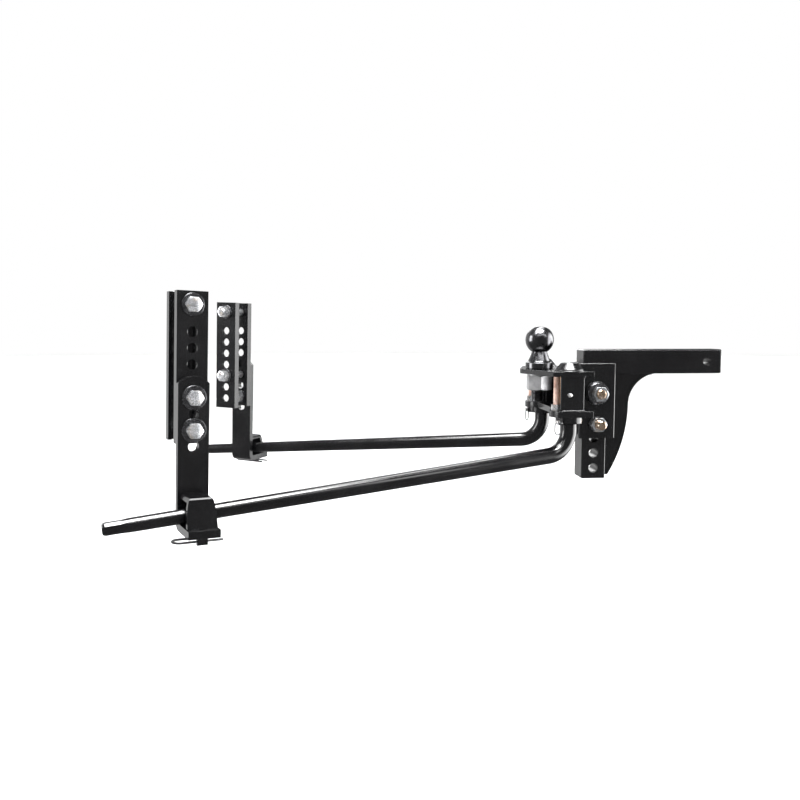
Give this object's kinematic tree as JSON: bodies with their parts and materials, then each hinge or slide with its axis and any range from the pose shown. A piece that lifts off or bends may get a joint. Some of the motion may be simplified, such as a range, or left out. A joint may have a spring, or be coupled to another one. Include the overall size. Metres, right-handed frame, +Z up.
{
  "type": "weight distribution hitch",
  "caption": "Receiver hitch with drop shank, ball head on two sockets, round L-bend spring bars and frame brackets with clipped keepers",
  "frame": {"origin": "centre of the hitch pin hole, on the shank's axis", "axes": "+X towards the tow vehicle, +Y to the left side, +Z up"},
  "size_m": [1.1717, 0.825, 0.4006],
  "materials": {
    "black_coat": "gloss black powder coat",
    "zinc": "bright zinc plate",
    "bright_zinc": "pale zinc plate",
    "yellow_zinc": "yellow zinc plate with a pinkish cast",
    "ball_steel": "dark polished steel",
    "bronze": "machined bearing bronze"
  },
  "bodies": {
    "shank": {"shank_bar": "black_coat", "drop_bar": "black_coat", "shank_gusset": "black_coat", "lock_bolt": "yellow_zinc", "lock_nut": "zinc", "lock_washers": "zinc"},
    "head": {"right_cheek": "black_coat", "left_cheek": "black_coat", "back_plate": "black_coat", "top_plate": "black_coat", "bottom_plate": "black_coat", "right_socket": "black_coat", "left_socket": "black_coat", "right_bushing": "bronze", "left_bushing": "bronze", "socket_studs": "yellow_zinc", "socket_stud_nuts": "zinc", "socket_caps": "black_coat", "grease_fittings": "zinc", "pivot_bolt": "yellow_zinc", "pivot_nut": "zinc", "pivot_washers": "zinc", "hitch_ball": "ball_steel", "ball_washer": "bright_zinc", "ball_nut": "bright_zinc", "retainer_housings": "black_coat"},
    "right_bar": {"right_spring_bar": "black_coat"},
    "right_bracket": {"right_outer_channel": "black_coat", "right_inner_channel": "black_coat", "right_l_bracket": "black_coat", "right_keeper": "black_coat", "right_clamp_bolts": "zinc", "right_clamp_nuts": "zinc", "right_clamp_washers": "zinc"},
    "right_clip": {"right_keeper_clip": "zinc"},
    "right_retainer": {"right_retainer_pin": "zinc"},
    "right_ring": {"right_pull_ring": "zinc"},
    "left_bar": {"left_spring_bar": "black_coat"},
    "left_bracket": {"left_outer_channel": "black_coat", "left_inner_channel": "black_coat", "left_l_bracket": "black_coat", "left_keeper": "black_coat", "left_clamp_bolts": "zinc", "left_clamp_nuts": "zinc", "left_clamp_washers": "zinc"},
    "left_clip": {"left_keeper_clip": "zinc"},
    "left_retainer": {"left_retainer_pin": "zinc"},
    "left_ring": {"left_pull_ring": "zinc"}
  },
  "joints": [
    {"name": "head_tilt", "type": "hinge", "parent": "shank", "child": "head", "pos_m": [-0.2406, 0, -0.06475], "axis": [0, 1, 0], "range_deg": [-5, 5]},
    {"name": "right_bar_swing", "type": "hinge", "parent": "head", "child": "right_bar", "pos_m": [-0.318, -0.102, -0.11425], "axis": [0, 0, 1], "range_deg": [-14, 30]},
    {"name": "right_bracket_slide", "type": "slide", "parent": "right_bar", "child": "right_bracket", "axis": [-0.9368, -0.3428, -0.0698], "range_m": [-0.04, 0.04]},
    {"name": "right_clip_pull", "type": "slide", "parent": "right_bracket", "child": "right_clip", "axis": [-0.9058, -0.4224, 0.0332], "range_m": [0, 0.07]},
    {"name": "right_retainer_pull", "type": "slide", "parent": "head", "child": "right_retainer", "axis": [-0.766, -0.6428, 0], "range_m": [0, 0.006], "stiffness_N_per_m": 600, "springref_m": -0.008},
    {"name": "right_ring_swing", "type": "hinge", "parent": "right_retainer", "child": "right_ring", "pos_m": [-0.34673, -0.1261, -0.11425], "axis": [-0.6428, 0.766, 0], "range_deg": [-25, 60]},
    {"name": "left_bar_swing", "type": "hinge", "parent": "head", "child": "left_bar", "pos_m": [-0.318, 0.102, -0.11425], "axis": [0, 0, -1], "range_deg": [-14, 30]},
    {"name": "left_bracket_slide", "type": "slide", "parent": "left_bar", "child": "left_bracket", "axis": [-0.9368, 0.3428, -0.0698], "range_m": [-0.04, 0.04]},
    {"name": "left_clip_pull", "type": "slide", "parent": "left_bracket", "child": "left_clip", "axis": [-0.9058, 0.4224, 0.0332], "range_m": [0, 0.07]},
    {"name": "left_retainer_pull", "type": "slide", "parent": "head", "child": "left_retainer", "axis": [-0.766, 0.6428, 0], "range_m": [0, 0.006], "stiffness_N_per_m": 600, "springref_m": -0.008},
    {"name": "left_ring_swing", "type": "hinge", "parent": "left_retainer", "child": "left_ring", "pos_m": [-0.34673, 0.1261, -0.11425], "axis": [0.6428, 0.766, 0], "range_deg": [-25, 60]}
  ]
}
